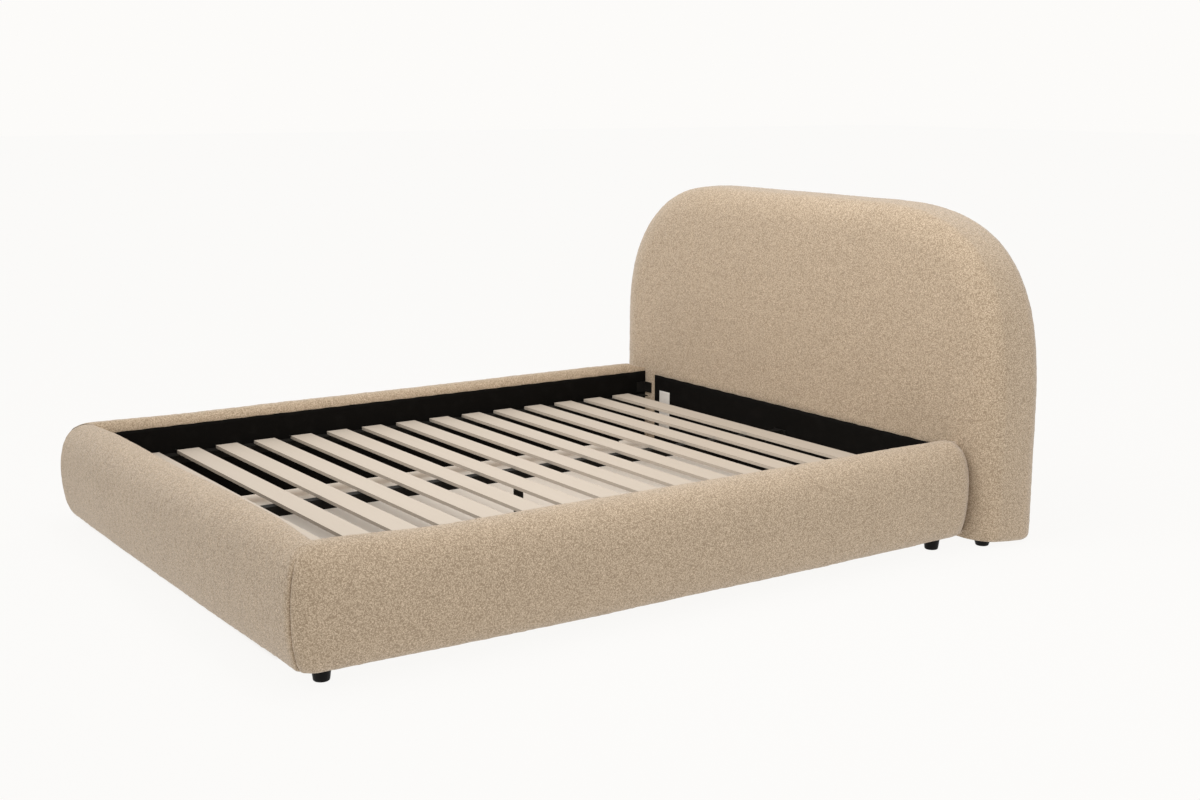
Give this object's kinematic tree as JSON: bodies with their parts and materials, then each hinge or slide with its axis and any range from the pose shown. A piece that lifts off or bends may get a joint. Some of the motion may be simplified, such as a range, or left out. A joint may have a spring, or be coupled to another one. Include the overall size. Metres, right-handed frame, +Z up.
{
  "type": "upholstered headboard bed",
  "caption": "Low upholstered bed with an arched padded headboard, rounded bolster rails, wood slats on steel ledges and a centre beam, on small round feet.",
  "frame": {"origin": "on the floor, at the middle of the bed's overall length and width", "axes": "+Z up, +Y along the bed from the foot rail to the headboard, +X to the right-hand side rail as seen from the foot"},
  "size_m": [1.86, 2.414, 0.988],
  "materials": {
    "fabric": "sand looped-pile boucle, matt",
    "foam": "cream polyurethane foam, matt",
    "lining": "black non-woven cloth, matt",
    "slat_wood": "pale planed birch or poplar, unvarnished",
    "board_wood": "raw plywood and softwood",
    "black_steel": "black powder coat, fine texture",
    "black_plastic": "moulded black plastic, satin",
    "label_cloth": "white woven tape, blank"
  },
  "bodies": {
    "root": {"side_rail_cover_right": "fabric", "side_rail_cover_left": "fabric", "foot_rail_cover": "fabric", "headboard_cover": "fabric", "side_rail_foam_right": "foam", "side_rail_foam_left": "foam", "foot_rail_foam": "foam", "headboard_front_foam": "foam", "headboard_edge_foam": "foam", "headboard_back_foam": "foam", "side_rail_lining_right": "lining", "side_rail_lining_left": "lining", "foot_rail_lining": "lining", "headboard_lining": "lining", "headboard_dust_cover": "lining", "slat_01": "slat_wood", "slat_02": "slat_wood", "slat_03": "slat_wood", "slat_04": "slat_wood", "slat_05": "slat_wood", "slat_06": "slat_wood", "slat_07": "slat_wood", "slat_08": "slat_wood", "slat_09": "slat_wood", "slat_10": "slat_wood", "slat_11": "slat_wood", "slat_12": "slat_wood", "slat_13": "slat_wood", "slat_14": "slat_wood", "slat_15": "slat_wood", "side_rail_board_right": "board_wood", "side_rail_board_left": "board_wood", "foot_rail_board": "board_wood", "headboard_front_panel": "board_wood", "headboard_back_panel": "board_wood", "headboard_post_right": "board_wood", "headboard_post_left": "board_wood", "headboard_top_rail": "board_wood", "headboard_middle_rail": "board_wood", "headboard_bottom_rail": "board_wood", "headboard_strut_right": "board_wood", "headboard_strut_left": "board_wood", "slat_ledge_right": "black_steel", "slat_ledge_left": "black_steel", "beam_hanger_foot": "black_steel", "beam_hanger_head": "black_steel", "centre_leg": "black_steel", "foot_corner_bracket_right": "black_steel", "foot_corner_bracket_left": "black_steel", "head_bracket_right": "black_steel", "head_bracket_left": "black_steel", "centre_beam": "black_steel", "centre_leg_cap": "black_plastic", "front_foot_right": "black_plastic", "front_foot_left": "black_plastic", "rear_foot_right": "black_plastic", "rear_foot_left": "black_plastic", "headboard_foot_right": "black_plastic", "headboard_foot_left": "black_plastic", "care_label": "label_cloth"}
  },
  "joints": []
}
